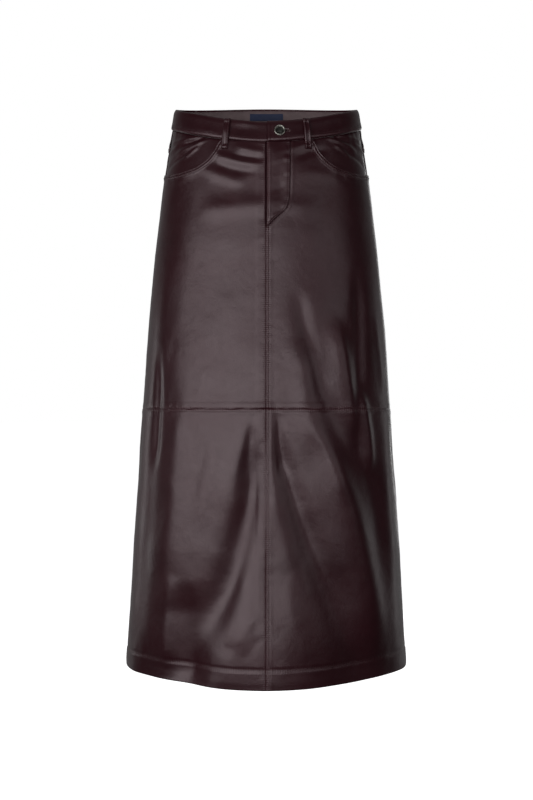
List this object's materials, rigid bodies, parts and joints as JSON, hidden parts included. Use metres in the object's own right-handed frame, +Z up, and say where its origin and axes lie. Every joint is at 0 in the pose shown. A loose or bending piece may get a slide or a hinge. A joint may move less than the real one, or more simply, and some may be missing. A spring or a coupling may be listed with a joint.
{
  "type": "leather skirt",
  "caption": "Long A-line leather skirt, hollow and filled out as worn, with a dipped waistband, buttoned fly, curved front pockets, belt loops, back yoke, thigh seam and turned-up hem.",
  "frame": {"origin": "middle of the waist, level with the waistband at the side seams, where the wearer's waist holds the skirt", "axes": "+Z up along the wearer, -Y to the front, +X to the wearer's left"},
  "size_m": [0.44, 0.321, 0.9029],
  "materials": {
    "leather": "smooth oxblood leather, semi-gloss",
    "band_facing": "matt mauve-grey woven facing",
    "button_metal": "dark antiqued metal",
    "zip_tape": "woven zip tape with a metal chain",
    "label_cloth": "plain navy woven label"
  },
  "bodies": {
    "root": {"front_upper_left": "leather", "front_upper_right": "leather", "front_lower_left": "leather", "front_lower_right": "leather", "back_upper_left": "leather", "back_upper_right": "leather", "back_lower_left": "leather", "back_lower_right": "leather", "back_yoke_left": "leather", "back_yoke_right": "leather", "pocket_facing_left": "leather", "pocket_facing_right": "leather", "waistband": "leather", "waistband_facing": "band_facing", "fly_front": "leather", "fly_zip": "zip_tape", "zip_slider": "button_metal", "belt_loop_front_left": "leather", "belt_loop_front_right": "leather", "belt_loop_side_left": "leather", "belt_loop_side_right": "leather", "belt_loop_centre_back": "leather", "waist_button": "button_metal", "button_back": "button_metal", "woven_label": "label_cloth"}
  },
  "joints": []
}
